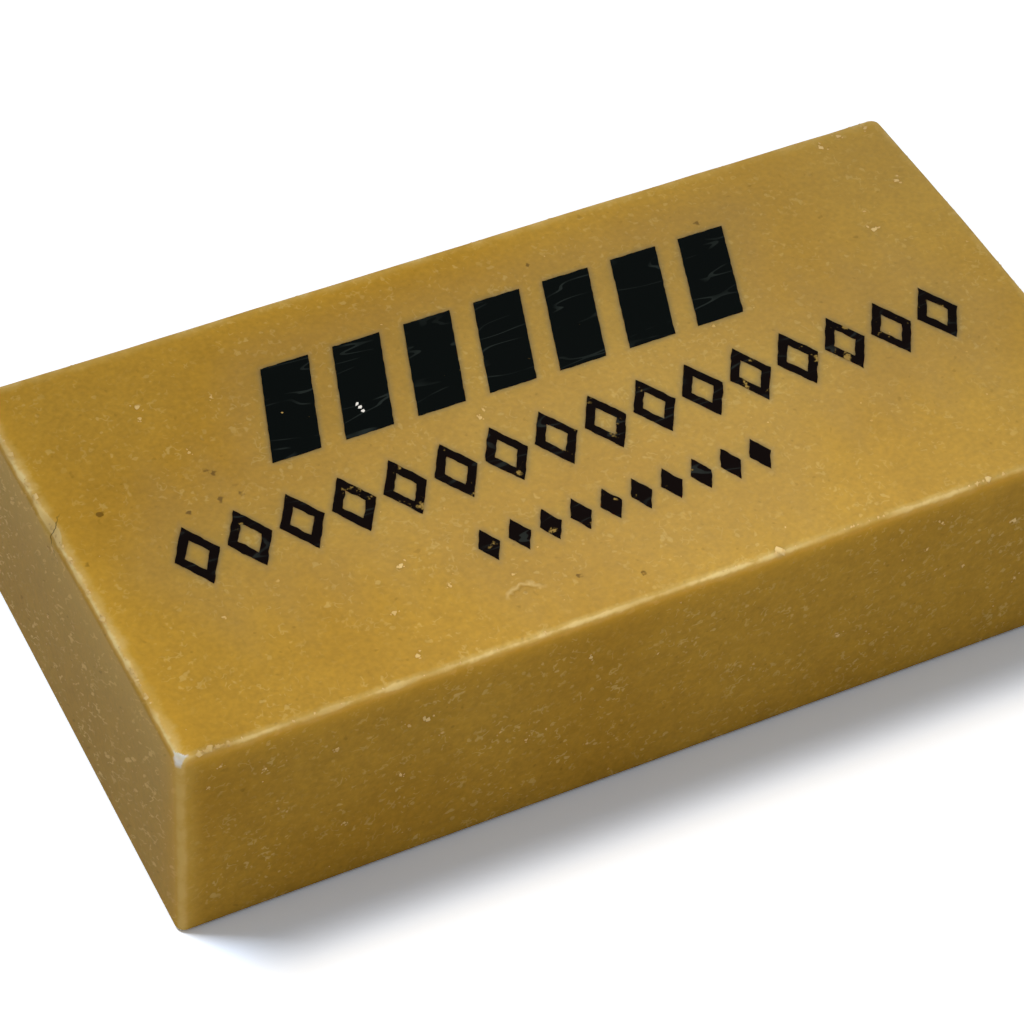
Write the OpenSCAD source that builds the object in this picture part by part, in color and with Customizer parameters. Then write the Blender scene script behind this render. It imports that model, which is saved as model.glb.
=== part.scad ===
// Gum eraser: one solid block of soft gum compound with worn edges, one chipped corner and one dented edge.
// Origin: middle of the base. X runs along the length, Y from front to back, Z up.

/* [Block] */
// Length, end to end
length = 51; // [30:0.5:90]
// Width, from the front face to the back face
width = 25; // [15:0.5:45]
// Height
height = 13; // [8:0.5:25]

/* [Worn edges] */
// Radius of the four upright corners
corner_radius = 0.8; // [0.7:0.1:3]
// Radius of the edge all round the top face and all round the base
rim_radius = 0.5; // [0.1:0.1:0.6]
// How deep the front left top corner is chipped, measured from the sharp corner
chip_depth = 0.6; // [0.5:0.05:2]
// How deep the left end's top edge is dented, measured from the sharp edge
dent_depth = 0.5; // [0.35:0.05:1.5]
// Length of that dent along the edge
dent_length = 3; // [1:0.25:8]
// How far behind the middle of the edge the dent lies
dent_offset = 2.75; // [-5:0.25:5]

/* [Hidden] */
gum_colour = "#B8923F";
// where the axes of the upright corners stand
corner_x = length / 2 - corner_radius;
corner_y = width / 2 - corner_radius;
// the chip leans equally from the front, the left end and the top
chip_lean = atan(sqrt(2));
chip_turn = 225;
// the chip's cutter reaches past the block on every side of the chip
chip_cutter = 4 * chip_depth;
// the dent is a shallow scoop: how far it bites into the rounded rim, and the radius that gives its length
dent_bite = dent_depth - rim_radius * (sqrt(2) - 1);
dent_radius = pow(dent_length / 2, 2) / (2 * dent_bite) + dent_bite / 2;
dent_lean = 45;

// rectangle standing on the base line, its corners rounded to the rim radius
module rim_section(span) {
    for (side = [-1, 1], z = [rim_radius, height - rim_radius])
        translate([side * (span / 2 - rim_radius), z]) circle(rim_radius, $fn = 64);
    translate([-span / 2, rim_radius]) square([span, height - 2 * rim_radius]);
    translate([rim_radius - span / 2, 0]) square([span - 2 * rim_radius, height]);
}

// bar along X, from corner axis to corner axis: the front and back faces with their rims
module long_bar()
    rotate([90, 0, 90]) translate([0, 0, -corner_x]) linear_extrude(2 * corner_x) rim_section(width);

// bar along Y, from corner axis to corner axis: the two end faces with their rims
module cross_bar()
    rotate([90, 0, 0]) translate([0, 0, -corner_y]) linear_extrude(2 * corner_y) rim_section(length);

// round post that fills an upright corner and carries the rims round it
module corner_post()
    rotate_extrude($fn = 96) intersection() {
        rim_section(2 * corner_radius);
        square([corner_radius, height]);
    }

module corner_chip()
    translate([-length / 2, -width / 2, height]) rotate([0, chip_lean, chip_turn])
        translate([-chip_cutter / 2, -chip_cutter / 2, -chip_depth]) cube(chip_cutter);

module edge_dent()
    translate([-length / 2, dent_offset, height]) rotate([0, dent_lean, 0])
        translate([dent_depth - dent_radius, 0, 0])
            cylinder(r = dent_radius, h = 4 * dent_depth, center = true, $fn = 96);

module eraser_block()
    color(gum_colour) difference() {
        union() {
            long_bar();
            cross_bar();
            for (x = [-corner_x, corner_x], y = [-corner_y, corner_y]) translate([x, y, 0]) corner_post();
        }
        corner_chip();
        edge_dent();
    }

eraser_block();
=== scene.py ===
import math
import random
import bmesh
import bpy
import numpy as np
from mathutils import Matrix, Vector, noise


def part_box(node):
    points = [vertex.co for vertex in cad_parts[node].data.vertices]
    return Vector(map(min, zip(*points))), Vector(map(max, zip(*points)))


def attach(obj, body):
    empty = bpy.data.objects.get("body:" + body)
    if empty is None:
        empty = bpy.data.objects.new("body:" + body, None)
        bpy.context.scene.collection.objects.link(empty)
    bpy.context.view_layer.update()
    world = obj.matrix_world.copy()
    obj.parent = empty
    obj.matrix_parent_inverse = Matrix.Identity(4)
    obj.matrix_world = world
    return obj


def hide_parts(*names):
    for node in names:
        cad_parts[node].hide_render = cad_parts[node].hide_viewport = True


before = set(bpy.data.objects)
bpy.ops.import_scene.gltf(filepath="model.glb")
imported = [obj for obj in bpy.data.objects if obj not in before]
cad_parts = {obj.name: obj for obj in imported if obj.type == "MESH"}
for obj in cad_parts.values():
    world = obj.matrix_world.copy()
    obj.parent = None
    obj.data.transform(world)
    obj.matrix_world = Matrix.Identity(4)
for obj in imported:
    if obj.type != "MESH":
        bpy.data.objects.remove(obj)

mm = 0.001
hair = 0.004 * mm  # crumbs and ink stay at least this far inside the solid
noise.seed_set(4)  # without it, noise_vector differs from run to run
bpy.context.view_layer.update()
solidLow, solidHigh = [Vector(corner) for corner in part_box("eraser_block")]
solidSize = solidHigh - solidLow
print("frame loaded, block is", [round(side / mm, 2) for side in solidSize], "mm")


def hexColour(code):  # sRGB hex to the linear colour a shader takes
    parts = [int(code[i:i + 2], 16) / 255 for i in (1, 3, 5)]
    return tuple(c / 12.92 if c <= 0.04045 else ((c + 0.055) / 1.055) ** 2.4 for c in parts) + (1.0,)


def perMm(size):  # texture scale, in object coordinates, of a pattern whose grain is this many mm
    return 1 / (size * mm)


def addNode(tree, kind, settings):  # a setting that is another node's output is linked, any other is set
    node = tree.nodes.new(kind)
    for name, value in settings.items():
        if isinstance(value, bpy.types.NodeSocket):
            tree.links.new(value, node.inputs[name])
        elif isinstance(name, str) and hasattr(node, name):
            setattr(node, name, value)
        else:
            node.inputs[name].default_value = value
    return node


def newMaterial(name):
    material = bpy.data.materials.new(name)
    material.use_nodes = True
    material.node_tree.nodes.clear()
    return material, material.node_tree


def selectOnly(piece):
    bpy.ops.object.select_all(action="DESELECT")
    piece.select_set(True)
    bpy.context.view_layer.objects.active = piece


def openForEditing(piece, mode):
    selectOnly(piece)
    bpy.ops.object.mode_set(mode="EDIT")
    bpy.ops.mesh.select_mode(type=mode)
    bpy.ops.mesh.select_all(action="DESELECT")
    return bmesh.from_edit_mesh(piece.data)


def closeEditing():
    bpy.ops.object.mode_set(mode="OBJECT")


def applyModifier(piece, name, kind, **settings):
    selectOnly(piece)
    modifier = piece.modifiers.new(name, kind)
    for key, value in settings.items():
        setattr(modifier, key, value)
    bpy.ops.object.modifier_apply(modifier=name)


def placeCopy(model):  # a copy with a mesh of its own
    copy = model.copy()
    copy.data = model.data.copy()
    bpy.context.collection.objects.link(copy)
    return copy


def joinCopies(copies, name):  # one piece at the origin, unturned and unscaled
    bpy.ops.object.select_all(action="DESELECT")
    for copy in copies:
        copy.select_set(True)
    bpy.context.view_layer.objects.active = copies[0]
    bpy.ops.object.join()
    piece = bpy.context.active_object
    bpy.ops.object.transform_apply(location=True, rotation=True, scale=True)
    piece.name = piece.data.name = name
    return piece


def readPoints(piece):
    points = np.empty(len(piece.data.vertices) * 3)
    piece.data.vertices.foreach_get("co", points)
    return points.reshape(-1, 3)


def writePoints(piece, points):
    piece.data.vertices.foreach_set("co", points.ravel())
    piece.data.update()


def writeAttribute(piece, name, values):
    layer = piece.data.attributes.new(name, "FLOAT", "POINT")
    layer.data.foreach_set("value", np.asarray(values, dtype=float))


block = {
    "skinInset": 0.05 * mm,      # the skin lies this far inside the solid, which leaves room for crumbs and ink
    "backShorter": (0.35 * mm, 0.3 * mm),  # cut a little out of square: right end, foot of the left end
    "backInset": 0.1 * mm,
    "cornerRadius": 0.5 * mm,
    "rimRadius": 0.32 * mm,
    "cells": ((66, 4), (65, 2), (62, 1)),  # cuts along X, Y and Z, made in two goes
    "rimCells": 8,               # cells that cover a rounded edge
    "flatBase": 2 * mm,          # the unevenness fades out over this height, so that the base stays flat
    # grain and height of the unevenness of hand-cut gum
    "slowWave": (9.0 * mm, 0.05 * mm),
    "midWave": (2.4 * mm, 0.014 * mm),
    "fineWave": (0.7 * mm, 0.004 * mm),
    "chip": {
        "depth": 0.54 * mm,
        "lean": (-0.64, -0.64, 0.42),
        "rough": (0.25 * mm, 0.05 * mm, 0.04 * mm),  # grain, height and highest point of the broken face
        "width": 0.27 * mm,      # of the pale part, which narrows downwards and ends raggedly
        "narrowing": (1.2, 0.8 * mm),
        "offset": 0.05 * mm,
        "ragged": (0.2 * mm, 0.1 * mm),
        "fade": 0.06 * mm,
    },
    "dent": {
        "depth": 0.5 * mm,
        "length": 3.0 * mm,
        "offset": 2.75 * mm,
        "reach": 3 * mm,         # how far from the edge it may bite
        "fade": 0.15 * mm,
        "rubAndPaintedLight": 0.5,           # how much wider the pale edge, rubbed and with its painted highlight, is there, in mm
        "crack": (-0.5 * mm, 0.7 * mm, 2.4),  # place along the edge, reach and strength of the cracked stretch
    },
    # how pale rubbing has made each face and corner; the corners also carry a painted highlight
    "rubAndPaintedLight": {"top": 0.38, "front": 0.6, "back": 0.6, "left": 1.9, "right": 0.9,
               "nearCorner": 0.95, "otherCorners": 0.5},
    # how pale each top edge is, rubbed and with a painted highlight, and how far that reaches inwards and
    # downwards, in mm
    "edges": {"front": (0.7, 0.36, 0.75), "left": (1.12, 0.8, 0.24),
              "back": (0.5, 0.8, 0.3), "right": (0.45, 0.6, 0.3)},
    "cornerStretch": (0.75, 1.25),  # how narrow the pale upright corners are, along X and Y; their paleness is rubbing and a painted highlight
    "widest": 4,                 # gaps past this many mm are all alike
    # painted sheen and light: a pale film laid on the ends and the top, strongest near the top of the left end;
    # on the top it fades out towards the left end and the back left, and is stronger at the back right
    "paintedSheen": {"left": 0.75, "leftTop": 2.0, "leftReach": 4 * mm, "right": 0.8, "top": 0.6, "farRight": 0.5},
    # painted glow: the light that comes warm through the gum near its edges, laid into the colour
    "paintedGlow": {"start": 0.2 * mm, "reach": 0.6 * mm, "longSides": 1.0, "ends": 0.1, "corner": 0.65,
              "leftEnd": 0.2, "leftReach": 4 * mm, "leftFront": 0.7, "leftFrontReach": 1.3 * mm,
              "leftTopFade": 0.2 * mm, "topLeft": 0.6, "topBack": 0.3, "topReach": 1.1 * mm},
    "topFrom": 0.1 * mm,         # the top's own wear fades out from here down
    "topFade": 0.4 * mm,
    # the larger pits and pressed marks in the top: X, Y and width in mm
    "pits": ((-19.0, 1.0, 0.36), (-11.2, 5.6, 0.36), (-17.2, 3.2, 0.4), (-16.9, 2.9, 0.36), (-17.3, 1.2, 0.4),
             (-16.2, 1.2, 0.34), (-22.8, 2.6, 0.46), (-24.6, -0.1, 0.34), (12.5, 8.9, 0.36), (19.8, -2.2, 0.36),
             (3.2, 9.6, 0.34), (-4.0, -9.9, 0.36), (-1.2, -11.0, 0.36)),
    "pitFade": (1.3, 1.6),
}


def cutAcross(piece, axis, goes):  # divides the box along one axis by subdividing the edges that run that way
    for cuts in goes:
        if cuts < 2:
            continue
        mesh = openForEditing(piece, "EDGE")
        for edge in mesh.edges:
            run = edge.verts[1].co - edge.verts[0].co
            edge.select_set(abs(run[axis]) > 0.99 * run.length)
        bmesh.update_edit_mesh(piece.data)
        bpy.ops.mesh.subdivide(number_cuts=cuts - 1)
        closeEditing()


def crowdedSteps(count, rimCells, span, rim):  # grid lines close together over the rims, even between them
    inner = np.linspace(rim, span - rim, count - 2 * rimCells + 1)
    edge = np.linspace(0, rim, rimCells + 1)
    return np.concatenate([edge[:-1], inner, span - edge[::-1][1:]])


def safeLength(lengths):  # keeps a division by a length of nothing out
    return np.maximum(lengths, 1e-12)


def roundedPlan(points, half, radius):  # turns the square upright corners into quarter circles
    over = np.maximum(np.abs(points[:, :2]) - (half - radius), 0)
    length = np.hypot(over[:, 0], over[:, 1])
    scale = np.where(length > 0, over.max(axis=1) / safeLength(length), 1)
    rounded = np.minimum(np.abs(points[:, :2]), half - radius) + over * scale[:, None]
    return np.sign(points[:, :2]) * rounded


def planDepth(plan, half, radius):  # how far inside the outline a point lies, and the way out from it
    over = np.abs(plan) - (half - radius)
    corner = (over[:, 0] > 0) & (over[:, 1] > 0)
    length = safeLength(np.hypot(over[:, 0], over[:, 1]))
    depth = np.where(corner, radius - length, (radius - over).min(axis=1))
    sideOn = np.stack([over[:, 0] >= over[:, 1], over[:, 0] < over[:, 1]], axis=1).astype(float)
    out = np.where(corner[:, None], over / length[:, None], sideOn) * np.sign(plan)
    return depth, out


def rolledRims(points, half, height, radius, rim):  # rolls the top and bottom edges over to the rim radius
    depth, out = planDepth(points[:, :2], half, radius)
    inwards = np.maximum(rim - depth, 0)
    upwards = np.maximum(rim - np.minimum(points[:, 2], height - points[:, 2]), 0)
    reach = np.maximum(inwards, upwards)
    length = safeLength(np.hypot(inwards, upwards))
    onRim = (inwards > 0) & (upwards > 0)
    newInwards = np.where(onRim, inwards / length * reach, inwards)
    newUpwards = np.where(onRim, upwards / length * reach, upwards)
    moved = points.copy()
    moved[:, :2] += out * (newInwards - inwards)[:, None]
    onTop = points[:, 2] > height / 2
    moved[:, 2] += np.where(onTop, newUpwards - upwards, upwards - newUpwards)
    return moved


def buildBlock():
    inset = block["skinInset"]
    height = solidSize.z - inset
    half = np.array([solidSize.x / 2 - inset, solidSize.y / 2 - inset])
    bpy.ops.object.select_all(action="DESELECT")
    bpy.ops.mesh.primitive_cube_add(size=1)
    piece = bpy.context.active_object
    piece.name = piece.data.name = "gumBlock"
    for axis, goes in enumerate(block["cells"]):
        cutAcross(piece, axis, goes)
    points = readPoints(piece)
    spans = (2 * half[0], 2 * half[1], height)
    for axis, goes in enumerate(block["cells"]):
        count = goes[0] * goes[1]
        steps = crowdedSteps(count, block["rimCells"], spans[axis], block["cornerRadius"])
        index = np.rint((points[:, axis] + 0.5) * count).astype(int)
        points[:, axis] = steps[index] - (0 if axis == 2 else spans[axis] / 2)
    points[:, :2] = roundedPlan(points, half, block["cornerRadius"])
    points = rolledRims(points, half, height, block["cornerRadius"], block["rimRadius"])
    writePoints(piece, points)
    openBase(piece, half)
    return piece


def openBase(piece, half):  # swaps the fine grid inside the base for one flat face
    keep = half - 2 * block["cornerRadius"]
    mesh = openForEditing(piece, "FACE")
    for face in mesh.faces:
        centre = face.calc_center_median()
        inside = abs(centre.x) < keep[0] and abs(centre.y) < keep[1]
        face.select_set(inside and centre.z < 1e-6)
    bmesh.update_edit_mesh(piece.data)
    bpy.ops.mesh.delete(type="FACE")
    bpy.ops.mesh.select_mode(type="EDGE")
    bpy.ops.mesh.select_all(action="DESELECT")
    bpy.ops.mesh.select_non_manifold()
    bpy.ops.mesh.edge_face_add()
    closeEditing()


def unevenCut(piece, points):  # the slow and fine waves of a hand-cut surface
    normals = np.empty(len(points) * 3)
    piece.data.vertex_normals.foreach_get("vector", normals)
    normals = normals.reshape(-1, 3)
    lift = np.clip(points[:, 2] / block["flatBase"], 0, 1)
    slowGrain, slowHeight = block["slowWave"]
    midGrain, midHeight = block["midWave"]
    fineGrain, fineHeight = block["fineWave"]
    midShift = Vector((7, 3, 1))
    for i, point in enumerate(points):
        where = Vector(point)
        push = noise.noise_vector(where / slowGrain) * slowHeight
        fine = noise.noise(where / midGrain + midShift) * midHeight
        fine += noise.noise(where / fineGrain) * fineHeight
        points[i] += (np.array(push) + normals[i] * fine) * lift[i]


def wearBlockAndPaintLight(piece):  # out of square, hand-cut unevenness, the chipped corner and the dented edge, then the wear and the painted sheen, glow and highlights that the gum's colour reads
    inset = block["skinInset"]
    points = readPoints(piece)
    height = points[:, 2].max()
    half = np.abs(points[:, :2]).max(axis=0)
    depth, _ = planDepth(points[:, :2], half, block["cornerRadius"])
    rubAndPaintedLight = rubAndPaintedLightLevels(points, half, height, depth)
    backward = points[:, 1] / (2 * half[1]) + 0.5
    rightShorter, leftShorter = block["backShorter"]
    points[:, 0] -= rightShorter * np.clip(points[:, 0] / half[0], 0, 1) * backward ** 3
    footward = 1 - points[:, 2] / height
    points[:, 0] += leftShorter * np.clip(-points[:, 0] / half[0], 0, 1) * backward * footward
    points[:, 1] -= block["backInset"] * np.clip(points[:, 1] / half[1], 0, 1)
    unevenCut(piece, points)
    chipPaleAndGlint = chipCorner(points)
    dented = dentEdge(points)
    low = np.array(solidLow) + (inset / 4, inset / 4, 0)
    high = np.array(solidHigh) - inset / 4
    writePoints(piece, np.clip(points, low, high))
    rubAndPaintedLight["edgeGap"] -= block["dent"]["rubAndPaintedLight"] * dented
    marks = {"chip": chipPaleAndGlint, **rubAndPaintedLight, "inkHalo": inkHalo(points), "pit": pitMarks(points),
             "crackArea": crackArea(points)}
    for name, values in marks.items():
        writeAttribute(piece, name, values)


def rubAndPaintedLightLevels(points, half, height, depth):  # how strongly each side, edge and corner has been rubbed pale, and where sheen, glow and highlights are painted on
    x, y, z = points.T
    below = height - z
    fromEnd = half[0] - np.abs(x)
    fromSide = half[1] - np.abs(y)
    toRight = x / half[0]
    toBack = np.clip(y / half[1], 0, 1)
    onTop = np.clip(1 - (below - block["topFrom"]) / block["topFade"], 0, 1)
    atEnds = fromEnd < fromSide
    side = np.where(atEnds, np.where(x < 0, "left", "right"), np.where(y < 0, "front", "back"))
    strength, inward, downward = np.array([block["edges"][name] for name in side]).T
    sideScuff = np.array([block["rubAndPaintedLight"][name] for name in side])
    scuff = sideScuff * (1 - onTop) + block["rubAndPaintedLight"]["top"] * onTop

    # painted sheen, brighter near the top of the left end
    paintedSheen = block["paintedSheen"]
    leftSheen = paintedSheen["left"] + paintedSheen["leftTop"] * np.exp(-below / paintedSheen["leftReach"])
    sideSheen = np.where(side == "left", leftSheen, np.where(side == "right", paintedSheen["right"], 0))
    farLeft = toBack * np.clip(1 - toRight, 0, 1)
    topSheen = paintedSheen["top"] * np.clip(1 + toRight, 0, 1) * (1 - farLeft)
    topSheen += paintedSheen["farRight"] * np.clip(toRight, 0, 1) * toBack

    # painted glow of light coming warm through the gum, under and beside its edges and along the top's left and
    # back edges
    paintedGlow = block["paintedGlow"]
    under = np.exp(-np.maximum(below - paintedGlow["start"], 0) / paintedGlow["reach"])
    beside = np.exp(-np.maximum(fromEnd - paintedGlow["start"], 0) / paintedGlow["reach"])
    warm = np.maximum(under, paintedGlow["corner"] * beside * (~atEnds))
    warm *= np.where(atEnds, paintedGlow["ends"], paintedGlow["longSides"])
    leftWarm = np.maximum(paintedGlow["leftEnd"] * np.exp(-below / paintedGlow["leftReach"]),
                          paintedGlow["leftFront"] * np.exp(-(half[1] + y) / paintedGlow["leftFrontReach"]))
    warm = np.where(side == "left", np.maximum(warm, leftWarm), warm)
    topWarm = np.maximum(paintedGlow["topLeft"] * np.exp(-(half[0] + x) / paintedGlow["topReach"]),
                         paintedGlow["topBack"] * np.exp(-(half[1] - y) / paintedGlow["topReach"]))
    topShare = np.where(side == "left", np.clip(1 - below / paintedGlow["leftTopFade"], 0, 1), onTop)

    nearest = (x < 0) & (y < 0)
    alongX, alongY = block["cornerStretch"]
    edgeGap = np.maximum(depth / inward, below / downward) / mm
    cornerGap = np.hypot(alongX * fromEnd, alongY * fromSide) / mm
    return {"scuff": scuff, "paintedSheen": sideSheen * (1 - onTop) + topSheen * onTop,
            "edgeRubAndHighlight": strength, "edgeGap": np.minimum(edgeGap, block["widest"]),
            "paintedGlow": warm * (1 - topShare) + topWarm * topShare,
            "cornerRubAndHighlight": np.where(nearest, block["rubAndPaintedLight"]["nearCorner"], block["rubAndPaintedLight"]["otherCorners"]),
            "cornerGap": np.minimum(cornerGap, block["widest"])}


def onTopFace(points):
    return points[:, 2] > solidHigh.z - block["topFade"]


def pitMarks(points):
    marks = np.zeros(len(points))
    strength, fall = block["pitFade"]
    for x, y, width in block["pits"]:
        away = np.hypot(points[:, 0] - x * mm, points[:, 1] - y * mm)
        marks = np.maximum(marks, np.clip(strength - fall * away / (width * mm), 0, 1))
    return marks * onTopFace(points)


def chipCorner(points):  # flattens the front left top corner to an uneven face, and says how pale it is: a torn face, paler than the gum and whitened further as a painted glint
    chip = block["chip"]
    lean = np.array(chip["lean"]) / np.linalg.norm(chip["lean"])
    corner = np.array([solidLow.x, solidLow.y, solidHigh.z])
    beyond = (points - corner) @ lean + chip["depth"]
    broken = beyond > 0
    grain, rise, highest = chip["rough"]
    for i in np.nonzero(broken)[0]:
        rough = noise.noise(Vector(points[i]) / grain) * rise
        points[i] -= lean * (beyond[i] - min(rough, highest))
    across = np.abs((points[:, 0] - corner[0]) - (points[:, 1] - corner[1]) + chip["offset"]) / math.sqrt(2)
    grain, spread = chip["ragged"]
    uneven = np.array([noise.noise(Vector(point) / grain) for point in points[broken]]) * spread
    start, run = chip["narrowing"]
    width = chip["width"] * (start - (corner[2] - points[broken, 2]) / run)
    pale = np.zeros(len(points))
    pale[broken] = 1 + (width - across[broken] + uneven) / chip["fade"]
    return np.clip(pale, 0, 1)


def dentEdge(points):  # the shallow scoop in the left end's top edge
    dent = block["dent"]
    bite = dent["depth"] - block["rimRadius"] * (math.sqrt(2) - 1)
    radius = (dent["length"] / 2) ** 2 / (2 * bite) + bite / 2
    outward = np.array([-1, 0, 1]) / math.sqrt(2)
    alongEdge = np.array([0, 1, 0])
    axis = np.array([solidLow.x, dent["offset"], solidHigh.z]) + outward * (radius - dent["depth"])
    away = points - axis
    depth = away @ outward
    across = away @ alongEdge
    distance = safeLength(np.hypot(depth, across))
    pressed = (distance < radius) & (points[:, 0] < solidLow.x + dent["reach"])
    pressed &= points[:, 2] > solidHigh.z - dent["reach"]
    shift = np.where(pressed, radius - distance, 0)
    push = outward * (depth / distance)[:, None] + alongEdge * (across / distance)[:, None]
    points += push * shift[:, None]
    return np.clip(shift / dent["fade"], 0, 1)


def crackArea(points):  # the stretch of the dented edge that the crack crosses
    along, reach, strength = block["dent"]["crack"]
    place = np.array([solidLow.x, block["dent"]["offset"] + along, solidHigh.z])
    return np.clip(strength - np.linalg.norm(points - place, axis=1) / reach, 0, 1)


# the print, three plain ornamental rows
printRows = {
    "printBars": {
        "centre": (-0.25 * mm, 5.3 * mm), "count": 7, "pitch": 3.85 * mm, "size": (2.55 * mm, 5.9 * mm),
        "lean": 2.0 * mm, "ragged": 0.03 * mm, "seed": 3, "ink": "stampedBlackInk"},
    "printDiamonds": {
        "centre": (0.4 * mm, -1.6 * mm), "count": 16, "pitch": 2.68 * mm, "size": (2.3 * mm, 3.8 * mm),
        "stroke": 0.46 * mm, "ragged": 0.05 * mm, "seed": 5, "ink": "rubbedBrownInk"},
    "printLozenges": {
        "centre": (0.3 * mm, -6.5 * mm), "count": 10, "pitch": 1.62 * mm, "size": (1.15 * mm, 2.1 * mm),
        "ragged": 0.05 * mm, "seed": 9, "ink": "rubbedBrownInk"},
}

inkFilm = {
    "thickness": 0.03 * mm,
    "offset": 0.4,               # the share of the film above the gum less the share in it
    "raggedGrain": 0.35 * mm,
    "hover": 1 * mm,             # shapes start this far above the top, and are then laid down on it
    "bloom": (0.6 * mm, 1.5),    # reach and fall of the grey halo close to a shape
    "wideBloom": (2 * mm, 1.6, 0.35),  # reach, start and strength of the faint halo round the rows
}


def rowPlaces(row):
    middle = (row["count"] - 1) / 2
    return [(row["centre"][0] + (i - middle) * row["pitch"], row["centre"][1]) for i in range(row["count"])]


def gapToShape(row, dx, dy):  # how far points lie outside one printed shape
    wide, tall = row["size"]
    if "lean" in row:
        dx = dx - dy / tall * row["lean"]
        return np.hypot(np.maximum(np.abs(dx) - wide / 2, 0), np.maximum(np.abs(dy) - tall / 2, 0))
    slope = math.hypot(wide, tall) / 2
    gap = (np.abs(dx) * tall / 2 + np.abs(dy) * wide / 2 - wide * tall / 4) / slope
    if "stroke" in row:
        gap = np.abs(gap + row["stroke"] / 2) - row["stroke"] / 2
    return gap


def inkHalo(points):  # the grey halo in the gum round each printed shape
    halo = np.zeros(len(points))
    reach, fall = inkFilm["bloom"]
    wideReach, wideStart, wideStrength = inkFilm["wideBloom"]
    for row in printRows.values():
        for x, y in rowPlaces(row):
            gap = gapToShape(row, points[:, 0] - x, points[:, 1] - y)
            close = np.clip(1 - gap / reach, 0, 1) ** fall
            faint = wideStrength * np.clip(wideStart - gap / wideReach, 0, 1)
            halo = np.maximum(halo, np.maximum(close, faint))
    return halo * onTopFace(points)


def modelBar(row):
    wide, tall = row["size"]
    bpy.ops.object.select_all(action="DESELECT")
    bpy.ops.mesh.primitive_plane_add(size=1)
    piece = bpy.context.active_object
    mesh = openForEditing(piece, "EDGE")
    bpy.ops.mesh.select_all(action="SELECT")
    bpy.ops.transform.resize(value=(wide, tall, 1))
    bpy.ops.mesh.select_all(action="DESELECT")
    for edge in mesh.edges:
        edge.select_set(all(v.co.y > 0 for v in edge.verts))
    bmesh.update_edit_mesh(piece.data)
    bpy.ops.transform.translate(value=(row["lean"], 0, 0))
    bpy.ops.mesh.select_all(action="SELECT")
    bpy.ops.transform.translate(value=(-row["lean"] / 2, 0, 0))
    bpy.ops.mesh.subdivide(number_cuts=19)
    closeEditing()
    return piece


def modelDiamond(row):
    wide, tall = row["size"]
    bpy.ops.object.select_all(action="DESELECT")
    bpy.ops.mesh.primitive_circle_add(vertices=4, radius=0.5, fill_type="NGON")
    piece = bpy.context.active_object
    openForEditing(piece, "FACE")
    bpy.ops.mesh.select_all(action="SELECT")
    bpy.ops.transform.resize(value=(wide, tall, 1))
    if "stroke" in row:
        bpy.ops.mesh.inset(thickness=row["stroke"])
        bpy.ops.mesh.delete(type="FACE")
        bpy.ops.mesh.select_all(action="SELECT")
    bpy.ops.mesh.subdivide(number_cuts=9)
    closeEditing()
    return piece


def printRow(name, row, ground):
    model = modelBar(row) if "lean" in row else modelDiamond(row)
    copies = []
    for x, y in rowPlaces(row):
        copy = placeCopy(model)
        copy.location = (x, y, solidHigh.z + inkFilm["hover"])
        copies.append(copy)
    piece = joinCopies(copies, name)
    bpy.data.objects.remove(model)
    mesh = openForEditing(piece, "VERT")
    for vertex in mesh.verts:
        if vertex.is_boundary:
            jitter = noise.noise_vector(vertex.co / inkFilm["raggedGrain"] + Vector((0, 0, row["seed"])))
            vertex.co.x += jitter.x * row["ragged"]
            vertex.co.y += jitter.y * row["ragged"]
    bmesh.update_edit_mesh(piece.data)
    closeEditing()
    applyModifier(piece, "lay", "SHRINKWRAP", target=ground, wrap_method="PROJECT", use_project_z=True,
                  use_negative_direction=True, use_positive_direction=False, offset=0)
    applyModifier(piece, "film", "SOLIDIFY", thickness=inkFilm["thickness"], offset=inkFilm["offset"])
    writePoints(piece, np.minimum(readPoints(piece), (1, 1, solidHigh.z - hair)))
    selectOnly(piece)
    bpy.ops.object.shade_smooth_by_angle(angle=math.radians(40))
    return piece


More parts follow.
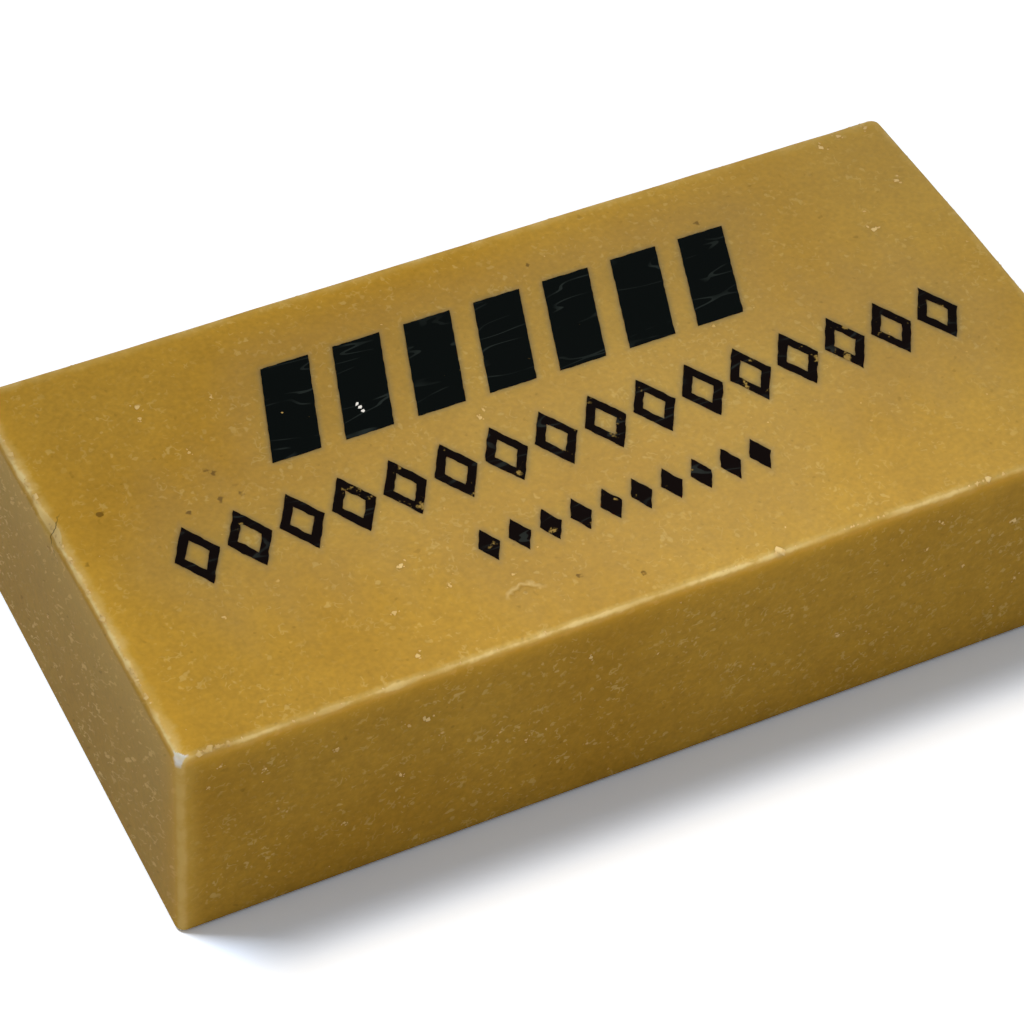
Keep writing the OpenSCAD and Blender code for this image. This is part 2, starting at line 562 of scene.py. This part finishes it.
crumbs = {
    "sides": {"front": 46, "back": 34, "left": 44, "right": 26, "top": 40},  # loose crumbs on each face
    "edges": {"frontEdge": 34, "leftEdge": 40, "rightEdge": 22, "backEdge": 26},
    "width": (0.07 * mm, 0.19 * mm),
    "margin": 0.6 * mm,          # loose ones keep this far from the ends of a face
    "topMargin": 0.7 * mm,
    "flatness": 0.8,
    "onInk": 0.05 * mm,          # lifts those that rest on the ink film
    "bits": (3, 0.8, (0.3, 0.6), 0.8),  # a larger crumb's bits: count, then spread, width and paleness as shares
    # larger ones: face, place along it, place up or across it and width in mm, and paleness
    "placed": (
        ("front", 19.0, 9.1, 0.50, 1.0), ("front", 14.6, 10.9, 0.28, 0.8), ("front", 14.0, 9.3, 0.26, 0.8),
        ("front", 16.4, 7.0, 0.26, 0.7), ("front", 19.8, 4.5, 0.32, 0.8), ("front", 9.6, 4.9, 0.36, 0.7),
        ("front", -23.3, 11.5, 0.26, 0.9), ("front", -21.1, 10.2, 0.26, 0.9), ("front", -23.9, 10.3, 0.22, 0.6),
        ("front", -17.0, 4.1, 0.28, 0.6), ("front", -17.5, 9.8, 0.34, 0.5), ("front", -14.2, 6.2, 0.30, 0.9),
        ("front", -12.9, 9.6, 0.42, 1.0), ("front", -13.9, 9.7, 0.26, 0.6), ("front", -4.5, 10.0, 0.32, 0.8),
        ("front", -12.1, 8.3, 0.24, 0.5), ("front", -7.6, 5.5, 0.28, 0.6), ("front", -9.0, 6.8, 0.22, 0.6),
        ("left", 3.4, 5.9, 0.30, 0.9), ("left", -0.2, 9.0, 0.34, 0.6), ("left", -3.0, 9.3, 0.26, 0.6),
        ("left", 2.1, 12.1, 0.42, 0.9), ("left", 2.6, 11.7, 0.36, 0.8), ("left", 1.5, 12.0, 0.30, 0.6),
        ("top", -11.3, -6.0, 0.40, 0.8), ("top", -9.8, -8.1, 0.28, 0.5), ("top", -12.9, -8.5, 0.34, 0.5),
        ("top", -18.5, 8.3, 0.36, 0.7), ("top", -18.7, 7.6, 0.30, 0.6), ("top", -15.0, 7.5, 0.22, 0.5),
        ("top", -3.7, 1.1, 0.34, 0.6), ("top", -3.3, 1.5, 0.26, 0.5), ("top", 23.6, 7.6, 0.44, 0.9),
        ("top", 20.6, 4.9, 0.40, 0.9), ("top", 24.1, 11.8, 0.34, 0.7), ("top", 22.5, 11.8, 0.34, 0.9),
        ("top", 21.2, 11.4, 0.40, 1.0), ("top", -20.1, -5.6, 0.26, 0.5), ("top", -13.0, -11.3, 0.34, 0.6),
        ("print", -8.78, 4.25, 0.22, 2.0), ("print", -8.73, 4.00, 0.28, 2.0), ("print", -8.70, 3.74, 0.24, 2.0),
        ("top", -6.8, -8.6, 0.22, 0.5), ("top", -17.4, 4.6, 0.26, 0.5),
        ("frontEdge", 16.9, 0, 0.46, 0.9), ("frontEdge", 16.3, 0, 0.30, 0.8), ("frontEdge", 5.4, 0, 0.52, 0.9),
        ("frontEdge", -24.3, 0, 0.40, 0.7), ("frontEdge", -23.8, 0, 0.44, 0.6),
        ("frontEdge", -23.4, 0, 0.30, 0.5),
        ("frontEdge", -22.9, 0, 0.36, 0.5), ("leftEdge", 7.8, 0, 0.40, 0.8), ("leftEdge", 5.8, 0, 0.34, 0.7),
        ("leftEdge", 4.8, 0, 0.44, 0.9), ("leftEdge", 0.6, 0, 0.40, 0.9), ("leftEdge", -3.4, 0, 0.44, 0.8),
        ("leftEdge", -6.8, 0, 0.40, 0.7), ("leftEdge", -8.5, 0, 0.34, 0.7), ("leftEdge", 2.9, 0, 0.36, 0.6),
    ),
}


def crumbSpot(face, along, other, ground):  # where a crumb touches the gum, and the way out there
    left, front, back, right = solidLow.x, solidLow.y, solidHigh.y, solidHigh.x
    top = solidHigh.z
    start, out = {
        "top": ((along, other, top), (0, 0, 1)),
        "print": ((along, other, top), (0, 0, 1)),
        "front": ((along, front, other), (0, -1, 0)),
        "back": ((along, back, other), (0, 1, 0)),
        "left": ((left, along, other), (-1, 0, 0)),
        "right": ((right, along, other), (1, 0, 0)),
        "frontEdge": ((along, front, top), (0, -1, 1)),
        "backEdge": ((along, back, top), (0, 1, 1)),
        "leftEdge": ((left + 0.3 * mm, along, top), (-0.3, 0, 1)),  # on the rim's upper side
        "rightEdge": ((right, along, top), (1, 0, 1)),
    }[face]
    out = Vector(out).normalized()
    touches, place, normal, _ = ground.ray_cast(Vector(start) + out * 5 * mm, -out)
    if face == "print":
        place = place + crumbs["onInk"] * out
    return (place, normal) if touches else (None, None)


def modelCrumb(seed):  # a small broken lump, flattened underneath
    bpy.ops.object.select_all(action="DESELECT")
    bpy.ops.mesh.primitive_ico_sphere_add(subdivisions=1, radius=0.5)
    piece = bpy.context.active_object
    openForEditing(piece, "VERT")
    bpy.ops.mesh.select_all(action="SELECT")
    bpy.ops.transform.vertex_random(offset=0.22, uniform=1.0, seed=seed)
    bpy.ops.transform.resize(value=(1.0, 0.72, 0.5))
    closeEditing()
    return piece


def crumbSpots():  # face, place along it, place up or across it, width and paleness of every crumb
    spots = []
    count, spread, narrower, duller = crumbs["bits"]
    for face, along, other, width, tone in crumbs["placed"]:
        spots.append((face, along * mm, other * mm, width * mm, tone))
        for _ in range(0 if face == "print" else count):
            shift = random.uniform(-spread, spread) * width
            drop = random.uniform(-spread, spread) * width
            bit = random.uniform(*narrower) * width
            spots.append((face, (along + shift) * mm, (other + drop) * mm, bit * mm, tone * duller))
    halfX = solidSize.x / 2 - crumbs["margin"]
    halfY = solidSize.y / 2 - crumbs["margin"]
    for face, count in {**crumbs["sides"], **crumbs["edges"]}.items():
        reach = halfX if face in ("top", "front", "back", "frontEdge", "backEdge") else halfY
        low, high = (-halfY, halfY) if face == "top" else (crumbs["margin"], solidHigh.z - crumbs["topMargin"])
        tones = (0.6, 1.0) if face in crumbs["edges"] else (0.1, 0.75)
        for _ in range(count):
            other = random.uniform(low, high)
            width = random.uniform(*crumbs["width"]) * random.choice((1, 1, 1.4))
            tone = random.uniform(*tones)
            spots.append((face, random.uniform(-reach, reach), other, width, tone))
    return spots


def scatterCrumbs(ground):
    random.seed(11)
    models = [modelCrumb(seed) for seed in (1, 2, 3, 4)]
    copies = []
    for face, along, other, width, tone in crumbSpots():
        place, normal = crumbSpot(face, along, other, ground)
        if place is None:
            continue
        copy = placeCopy(random.choice(models))
        turn = normal.to_track_quat("Z", "Y").to_matrix() @ Matrix.Rotation(random.uniform(0, math.tau), 3, "Z")
        size = Vector((1, 1, crumbs["flatness"])) * width
        copy.matrix_world = Matrix.LocRotScale(place, turn.to_quaternion(), size)
        writeAttribute(copy, "paleness", [tone] * len(copy.data.vertices))
        copies.append(copy)
    piece = joinCopies(copies, "surfaceCrumbs")
    for model in models:
        bpy.data.objects.remove(model)
    writePoints(piece, np.clip(readPoints(piece), np.array(solidLow) + hair, np.array(solidHigh) - hair))
    selectOnly(piece)
    bpy.ops.object.shade_smooth_by_angle(angle=math.radians(50))
    return piece


# a nail's pressed ring, drawn in colour only: a painted highlight along its ridge and painted shade in the
# groove inside it
nailMark = {
    "centre": (-6.5 * mm, -10.1 * mm, 13.2 * mm),
    "radius": 1.05 * mm,
    "from": -10.0 * mm,          # only the part of the ring behind this Y shows
    "fade": 0.4 * mm,
    "ridgeHighlight": 0.16 * mm,
    "grooveShade": 0.14 * mm,
    "grooveInside": 0.2 * mm,
}

# the crack lies in a plane: a point's dot product with "across" equals "from" there
crackPlane = {
    "across": (-0.55, 1.0, -1.1),
    "from": (2.4 + 0.55 * 25.5 - 1.1 * 13.0 + 0.25) * mm,
    "halfWidth": 0.07 * mm,
}

gum = {
    # the marks the block carries: wear, the ink halo, and painted sheen, glow and highlights
    "wearAndPaintedLight": ("scuff", "paintedSheen", "edgeRubAndHighlight", "edgeGap", "paintedGlow", "cornerRubAndHighlight", "cornerGap", "inkHalo", "pit",
             "crackArea", "chip"),
    # grain in mm, detail and roughness
    "noises": {"drift": (12, 1, 0.5), "mottle": (0.3, 1, 0.6), "cloud": (1.6, 1, 0.5), "patch": (2.5, 1, 0.5),
               "along": (4, 2, 0.6), "ragged": (1.1, 3, 0.65)},
    "strokeGrain": 0.46,
    "strokeTurn": (math.radians(-45), 0, 0),  # strokes run aslant down the ends
    "strokeStretch": (1, 2.6, 0.75),
    "wander": 0.5 * mm,          # how far the crack and the nail mark stray
    "body": ("#B98C2C", "#C39736"),
    # each reads its source from the first level to the second, and gives the third to the fourth
    "spans": {
        "bodyShare": ("drift", 0.35, 0.65, 0.0, 1.0),
        "shade": ("grain", 0.45, 1.05, 0.86, 1.09),
        "speck": ("field0", 0.66, 0.72, 0.0, 1.0),
        "strokeHere": ("field2", 0.54, 0.62, 0.0, 1.0),
        "patchy": ("patch", 0.38, 0.62, 0.15, 0.8),
        "finePit": ("field2", 0.2, 0.29, 0.45, 0.0),
        "listedPit": ("pitDepth", 0.0, 0.25, 0.0, 1.3),
        "alongEdge": ("along", 0.35, 0.6, 0.4, 1.0),
        "unevenCorner": ("ragged", 0.35, 0.6, 0.5, 1.0),
        "nailHere": ("nailY", nailMark["from"], nailMark["from"] + nailMark["fade"], 0.0, 1.0),
    },
    "softSpans": {
        "core": ("edge", -0.34, -0.08, 1.0, 0.0),
        "glow": ("edge", -0.4, 0.5, 0.8, 0.0),
        "besideCorner": ("cornerGap", 0.15, 1.1, 0.36, 0.0),
        "onCorner": ("cornerGap", 0.18, 0.42, 1.0, 0.0),
    },
    # thin lines: the source, the level the line follows and half its width
    "lines": {
        "strokeLine": ("field1", 0.5, 0.06),
        "crack": ("crackRun", crackPlane["from"], crackPlane["halfWidth"]),
        "ridgeHighlight": ("nailAway", nailMark["radius"], nailMark["ridgeHighlight"]),
        "grooveShade": ("nailAway", nailMark["radius"] - nailMark["grooveInside"], nailMark["grooveShade"]),
    },
    "mixes": {
        "stroke": ("MULTIPLY", "strokeLine", "strokeHere"),
        "mark": ("MAXIMUM", "speck", "stroke"),
        "fleck": ("MULTIPLY", "mark", "patchy"),
        "pits": ("MAXIMUM", "finePit", "listedPit"),
        "edgeHere": ("MULTIPLY", "edgeRubAndHighlight", "alongEdge"),
        "corner": ("ADD", "besideCorner", "onCorner"),
    },
    # the colours laid over the body, from the first up, and what multiplies into how much of each shows
    "layers": (
        # painted sheen
        ("#E8CD86", "paintedSheen", 0.22),
        ("#EACB80", "fleck", "scuff"),           # where crumbs have been dragged across
        ("#6B4A12", "pits", 0.65),
        ("#9A8866", "inkHalo", 0.45),
        # painted glow
        ("#F0B83C", "paintedGlow"),
        # the upright corners: rubbed pale, with a painted highlight
        ("#F0C970", "corner", "cornerRubAndHighlight", "unevenCorner"),
        # the top edges: rubbed pale, with a painted highlight along the arris
        ("#F0CF80", "glow", "edgeHere"),
        ("#FFE5A0", "core", "coreHere"),
        ("#6E5426", "crack", "crackArea"),
        # the nail mark: painted highlight on its ridge, painted shade in its groove
        ("#E4C78A", "ridgeHighlight", "nailHere", 0.45),
        ("#7C5B1E", "grooveShade", "nailHere", 0.35),
        # the chip's torn face, pale, whitened further as a painted glint
        ("#FFFCF2", "chip"),
    ),
    "fleckRise": 0.8,
    "bump": (0.4, 0.03 * mm),
}


def gumMaterial():  # oil gum cut with a blade: waxy, matt, slightly see-through, pale where rubbed, with painted sheen, glow, highlights and shade laid into its colour
    material, tree = newMaterial("cutGum")
    place = addNode(tree, "ShaderNodeTexCoord", {}).outputs["Object"]
    part = {}  # the outputs of the nodes, by name
    for name in gum["wearAndPaintedLight"]:
        part[name] = addNode(tree, "ShaderNodeAttribute", {"attribute_name": name}).outputs["Fac"]
    for name, (grain, detail, roughness) in gum["noises"].items():
        settings = {"Vector": place, "Scale": perMm(grain), "Detail": detail, "Roughness": roughness}
        part[name] = addNode(tree, "ShaderNodeTexNoise", settings).outputs[0]

    # one more noise gives three fields for the strokes, specks and pits, and bends the crack and the nail mark
    drawnOut = addNode(tree, "ShaderNodeMapping", {
        "Vector": place, "vector_type": "TEXTURE",
        "Rotation": gum["strokeTurn"], "Scale": gum["strokeStretch"]})
    wobble = addNode(tree, "ShaderNodeTexNoise", {
        "Vector": drawnOut.outputs[0], "Scale": perMm(gum["strokeGrain"]), "Detail": 1, "Roughness": 0.6})
    fields = addNode(tree, "ShaderNodeSeparateColor", {0: wobble.outputs["Color"]})
    for i in range(3):
        part["field" + str(i)] = fields.outputs[i]
    bent = addNode(tree, "ShaderNodeVectorMath", {
        "operation": "MULTIPLY_ADD", 0: wobble.outputs["Color"], 1: (gum["wander"],) * 3, 2: place}).outputs[0]
    crackRun = addNode(tree, "ShaderNodeVectorMath", {
        "operation": "DOT_PRODUCT", 0: bent, 1: crackPlane["across"]})
    nailAway = addNode(tree, "ShaderNodeVectorMath", {"operation": "DISTANCE", 0: bent, 1: nailMark["centre"]})
    part["crackRun"] = crackRun.outputs["Value"]
    part["nailAway"] = nailAway.outputs["Value"]
    part["nailY"] = addNode(tree, "ShaderNodeSeparateXYZ", {0: place}).outputs[1]

    part["grain"] = addNode(tree, "ShaderNodeMath", {
        "operation": "MULTIPLY_ADD", 0: part["cloud"], 1: 0.5, 2: part["mottle"]}).outputs[0]
    part["pitDepth"] = addNode(tree, "ShaderNodeMath", {
        "operation": "SUBTRACT", 0: part["pit"], 1: part["mottle"]}).outputs[0]
    part["edge"] = addNode(tree, "ShaderNodeMath", {
        "operation": "MULTIPLY_ADD", 0: part["ragged"], 1: -1.0, 2: part["edgeGap"]}).outputs[0]
    for curve, spans in (("LINEAR", gum["spans"]), ("SMOOTHSTEP", gum["softSpans"])):
        for name, (source, low, high, atLow, atHigh) in spans.items():
            settings = {"interpolation_type": curve, 0: part[source], 1: low, 2: high, 3: atLow, 4: atHigh}
            part[name] = addNode(tree, "ShaderNodeMapRange", settings).outputs[0]
    for name, (source, level, halfWidth) in gum["lines"].items():
        off = addNode(tree, "ShaderNodeMath", {"operation": "SUBTRACT", 0: part[source], 1: level})
        away = addNode(tree, "ShaderNodeMath", {"operation": "ABSOLUTE", 0: off.outputs[0]})
        settings = {0: away.outputs[0], 1: 0.0, 2: halfWidth, 3: 1.0, 4: 0.0}
        part[name] = addNode(tree, "ShaderNodeMapRange", settings).outputs[0]
    for name, (operation, first, second) in gum["mixes"].items():
        settings = {"operation": operation, 0: part[first], 1: part[second]}
        part[name] = addNode(tree, "ShaderNodeMath", settings).outputs[0]
    part["coreHere"] = addNode(tree, "ShaderNodeMapRange", {
        0: part["edgeHere"], 1: 0.35, 2: 1.0, 3: 0.15, 4: 1.0}).outputs[0]

    # a body colour that drifts slowly and is mottled at two grains, then the layers, painted sheen, glow,
    # highlights and shade among them
    body = addNode(tree, "ShaderNodeMix", {
        "data_type": "RGBA", 0: part["bodyShare"], 6: hexColour(gum["body"][0]), 7: hexColour(gum["body"][1])})
    colour = addNode(tree, "ShaderNodeMix", {
        "data_type": "RGBA", "blend_type": "MULTIPLY", 0: 1.0, 6: body.outputs[2], 7: part["shade"]}).outputs[2]
    for code, first, *others in gum["layers"]:
        amount = part[first]
        for factor in others:
            settings = {"operation": "MULTIPLY", 0: amount, 1: part.get(factor, factor)}
            amount = addNode(tree, "ShaderNodeMath", settings).outputs[0]
        colour = addNode(tree, "ShaderNodeMix", {
            "data_type": "RGBA", 0: amount, 6: colour, 7: hexColour(code)}).outputs[2]

    raised = addNode(tree, "ShaderNodeMath", {
        "operation": "MULTIPLY_ADD", 0: part["fleck"], 1: gum["fleckRise"], 2: part["grain"]})
    bump = addNode(tree, "ShaderNodeBump", {
        "Strength": gum["bump"][0], "Distance": gum["bump"][1], "Height": raised.outputs[0]})
    surface = addNode(tree, "ShaderNodeBsdfPrincipled", {
        "subsurface_method": "BURLEY", "Base Color": colour, "Normal": bump.outputs[0],
        "Roughness": 0.7, "IOR": 1.45, "Specular IOR Level": 0.04, "Subsurface Weight": 1.0,
        "Subsurface Scale": 1.0 * mm, "Subsurface Radius": (1.0, 0.7, 0.3)})
    addNode(tree, "ShaderNodeOutputMaterial", {"Surface": surface.outputs[0]})
    return material


crumbColours = ("#C59C48", "#F8D894", "#FFFAF0")  # at paleness 0, 1 and 2


def crumbMaterial():  # broken bits of the same gum, paler and duller for their dry torn faces
    material, tree = newMaterial("tornGumCrumb")
    dull, pale, bare = [hexColour(code) for code in crumbColours]
    paleness = addNode(tree, "ShaderNodeAttribute", {"attribute_name": "paleness"}).outputs["Fac"]
    paler = addNode(tree, "ShaderNodeMix", {"data_type": "RGBA", 0: paleness, 6: dull, 7: pale})
    barest = addNode(tree, "ShaderNodeMapRange", {0: paleness, 1: 1.0, 2: 2.0})
    colour = addNode(tree, "ShaderNodeMix", {
        "data_type": "RGBA", 0: barest.outputs[0], 6: paler.outputs[2], 7: bare})
    surface = addNode(tree, "ShaderNodeBsdfPrincipled", {
        "Base Color": colour.outputs[2], "Roughness": 0.8, "IOR": 1.45, "Specular IOR Level": 0.08})
    addNode(tree, "ShaderNodeOutputMaterial", {"Surface": surface.outputs[0]})
    return material


# each ink's colour, and the level of the grain past which it has been rubbed off
inks = {"stampedBlackInk": ("#050908", 0.72), "rubbedBrownInk": ("#0B0504", 0.63)}
inkLook = {"crack": "#5C6660", "gumBelow": "#A98A48", "grain": 0.9, "crackGrain": 1.1, "patchGrain": 1.6}


def inkMaterial(name, inkColour, wornLevel):  # stamped oil ink, dried matt, finely cracked and partly rubbed off
    material, tree = newMaterial(name)
    place = addNode(tree, "ShaderNodeTexCoord", {}).outputs["Object"]
    grain = addNode(tree, "ShaderNodeTexNoise", {
        "Vector": place, "Scale": perMm(inkLook["grain"]), "Detail": 4, "Roughness": 0.7}).outputs[0]
    gone = addNode(tree, "ShaderNodeMapRange", {0: grain, 1: wornLevel, 2: wornLevel + 0.06, 3: 0.0, 4: 0.9})
    drawnOut = addNode(tree, "ShaderNodeMapping", {"Vector": place, "Scale": (0.22, 1, 1)})
    crack = addNode(tree, "ShaderNodeTexNoise", {
        "Vector": drawnOut.outputs[0], "Scale": perMm(inkLook["crackGrain"]), "Detail": 1})
    line = addNode(tree, "ShaderNodeMath", {"operation": "COMPARE", 0: crack.outputs[0], 1: 0.5, 2: 0.012})
    patch = addNode(tree, "ShaderNodeTexNoise", {
        "Vector": place, "Scale": perMm(inkLook["patchGrain"]), "Detail": 1})
    opened = addNode(tree, "ShaderNodeMapRange", {0: patch.outputs[0], 1: 0.42, 2: 0.62, 3: 0.0, 4: 0.16})
    shown = addNode(tree, "ShaderNodeMath", {"operation": "MULTIPLY", 0: line.outputs[0], 1: opened.outputs[0]})
    cracked = addNode(tree, "ShaderNodeMix", {
        "data_type": "RGBA", 0: shown.outputs[0], 6: hexColour(inkColour), 7: hexColour(inkLook["crack"])})
    colour = addNode(tree, "ShaderNodeMix", {
        "data_type": "RGBA", 0: gone.outputs[0], 6: cracked.outputs[2], 7: hexColour(inkLook["gumBelow"])})
    bump = addNode(tree, "ShaderNodeBump", {"Strength": 0.4, "Distance": 0.02 * mm, "Height": grain})
    surface = addNode(tree, "ShaderNodeBsdfPrincipled", {
        "Base Color": colour.outputs[2], "Normal": bump.outputs[0],
        "Roughness": 0.6, "Specular IOR Level": 0.02})
    addNode(tree, "ShaderNodeOutputMaterial", {"Surface": surface.outputs[0]})
    return material


studio = {
    "floorSize": 3.0,
    "sky": 0.3,
    "floorSeen": (1.26, 1.29, 1.33, 1),  # clips to white in the open
    "floorNear": (1.24, 1.41, 1.69, 1),  # bluer, since the gum's glow warms the floor beside it
    "nearReach": 2.4 * mm,
    "shadowSide": (-1.5 * mm, 1.8 * mm, 0),
    "floorBounce": (0.51, 0.51, 0.51, 1),  # what the gum gets back from the floor
    # level is the light that falls on a level surface, 1 being full white
    "lamps": (
        {"name": "keyLight", "place": (0.0, -0.0185, 0.056), "size": 0.036, "level": 0.86, "aimY": -0.012,
         "lights": "part"},
        {"name": "floorLight", "place": (-0.18, 0.13, 0.55), "size": 0.12, "level": 0.61, "aimY": 0,
         "lights": "floor"},
    ),
}


def backgroundRays(tree):  # 1 where the background itself is seen, also by reflection or through glass
    ray = addNode(tree, "ShaderNodeLightPath", {})
    seen = ray.outputs["Is Camera Ray"]
    for kind in ("Is Glossy Ray", "Is Transmission Ray"):
        settings = {"operation": "MAXIMUM", 0: seen, 1: ray.outputs[kind]}
        seen = addNode(tree, "ShaderNodeMath", settings).outputs[0]
    return seen


def floorMaterial():  # white card; cooler close to the gum, where its warm glow would tint the shadow
    material, tree = newMaterial("whiteSweep")
    place = addNode(tree, "ShaderNodeTexCoord", {}).outputs["Object"]
    outside = place  # the way out from the block's outline, moved into its shadow
    for operation, other in (("ADD", studio["shadowSide"]), ("ABSOLUTE", None),
                             ("SUBTRACT", (solidHigh.x, solidHigh.y, 0)), ("MAXIMUM", (0, 0, 0))):
        settings = {"operation": operation, 0: outside, **({1: other} if other else {})}
        outside = addNode(tree, "ShaderNodeVectorMath", settings).outputs[0]
    away = addNode(tree, "ShaderNodeVectorMath", {"operation": "LENGTH", 0: outside}).outputs["Value"]
    near = addNode(tree, "ShaderNodeMapRange", {0: away, 1: 0.0, 2: studio["nearReach"], 3: 1.0, 4: 0.0})
    seenColour = addNode(tree, "ShaderNodeMix", {
        "data_type": "RGBA", 0: near.outputs[0], 6: studio["floorSeen"], 7: studio["floorNear"]})
    colour = addNode(tree, "ShaderNodeMix", {
        "data_type": "RGBA", 0: backgroundRays(tree), 6: studio["floorBounce"], 7: seenColour.outputs[2]})
    surface = addNode(tree, "ShaderNodeBsdfDiffuse", {"Color": colour.outputs[2]})
    addNode(tree, "ShaderNodeOutputMaterial", {"Surface": surface.outputs[0]})
    return material


def hangLamp(plan, floor):
    place = Vector(plan["place"])
    bpy.ops.object.light_add(type="AREA", location=place)
    lamp = bpy.context.active_object
    lamp.name = plan["name"]
    lamp.data.size = plan["size"]
    lamp.visible_camera = False
    aim = Vector((0, plan["aimY"], solidHigh.z)) - place
    # the power that gives the level
    lamp.data.energy = plan["level"] * math.pi ** 2 * aim.length ** 3 / -aim.z
    lamp.rotation_euler = aim.to_track_quat("-Z", "Y").to_euler()
    lights = bpy.data.collections.new(plan["name"] + "Reach")
    lights.objects.link(floor)
    state = "INCLUDE" if plan["lights"] == "floor" else "EXCLUDE"
    lights.collection_objects[0].light_linking.link_state = state
    lamp.light_linking.receiver_collection = lights


def buildStudio():
    bpy.ops.object.select_all(action="DESELECT")
    bpy.ops.mesh.primitive_plane_add(size=studio["floorSize"])
    floor = bpy.context.active_object
    floor.name = "floor"
    floor.data.materials.append(floorMaterial())
    for plan in studio["lamps"]:
        hangLamp(plan, floor)
    world = bpy.data.worlds.new("studioWorld")
    bpy.context.scene.world = world
    world.use_nodes = True
    tree = world.node_tree
    tree.nodes.clear()
    level = addNode(tree, "ShaderNodeMapRange", {
        0: backgroundRays(tree), 1: 0.0, 2: 1.0, 3: studio["sky"], 4: 1.0})
    sky = addNode(tree, "ShaderNodeBackground", {"Color": (1, 1, 1, 1), "Strength": level.outputs[0]})
    addNode(tree, "ShaderNodeOutputWorld", {"Surface": sky.outputs[0]})


cameraPlan = {
    "place": (-67.81 * mm, -112.52 * mm, 148.20 * mm),
    "aim": (-2.077 * mm, 0.055 * mm, 6.5 * mm),
    "roll": 4.779,               # degrees
    "lens": 136.98,
    "sensor": 36.0,
}


def placeCamera():
    eye = Vector(cameraPlan["place"])
    look = (Vector(cameraPlan["aim"]) - eye).normalized()
    level = look.cross(Vector((0, 0, 1))).normalized()
    upright = level.cross(look)
    roll = math.radians(cameraPlan["roll"])
    right = level * math.cos(roll) + upright * math.sin(roll)
    up = upright * math.cos(roll) - level * math.sin(roll)
    data = bpy.data.cameras.new("camera")
    data.lens = cameraPlan["lens"]
    data.sensor_width = cameraPlan["sensor"]
    data.clip_start = 0.01
    camera = bpy.data.objects.new("camera", data)
    turn = Matrix((right, up, -look)).transposed().to_4x4()
    camera.matrix_world = Matrix.Translation(eye) @ turn
    bpy.context.collection.objects.link(camera)
    bpy.context.scene.camera = camera


gumBlock = buildBlock()
wearBlockAndPaintLight(gumBlock)
gumBlock.data.materials.append(gumMaterial())
selectOnly(gumBlock)
bpy.ops.object.shade_smooth()
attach(gumBlock, "root")
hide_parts("eraser_block")
print("gum block built,", len(gumBlock.data.polygons), "faces")

inkMaterials = {name: inkMaterial(name, *look) for name, look in inks.items()}
for name, row in printRows.items():
    piece = printRow(name, row, gumBlock)
    piece.data.materials.clear()
    piece.data.materials.append(inkMaterials[row["ink"]])
    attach(piece, "root")
print("print laid on")

loose = scatterCrumbs(gumBlock)
loose.data.materials.clear()
loose.data.materials.append(crumbMaterial())
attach(loose, "root")
print("crumbs scattered,", len(loose.data.polygons), "faces")

buildStudio()
placeCamera()
bpy.context.scene.view_settings.view_transform = "Standard"
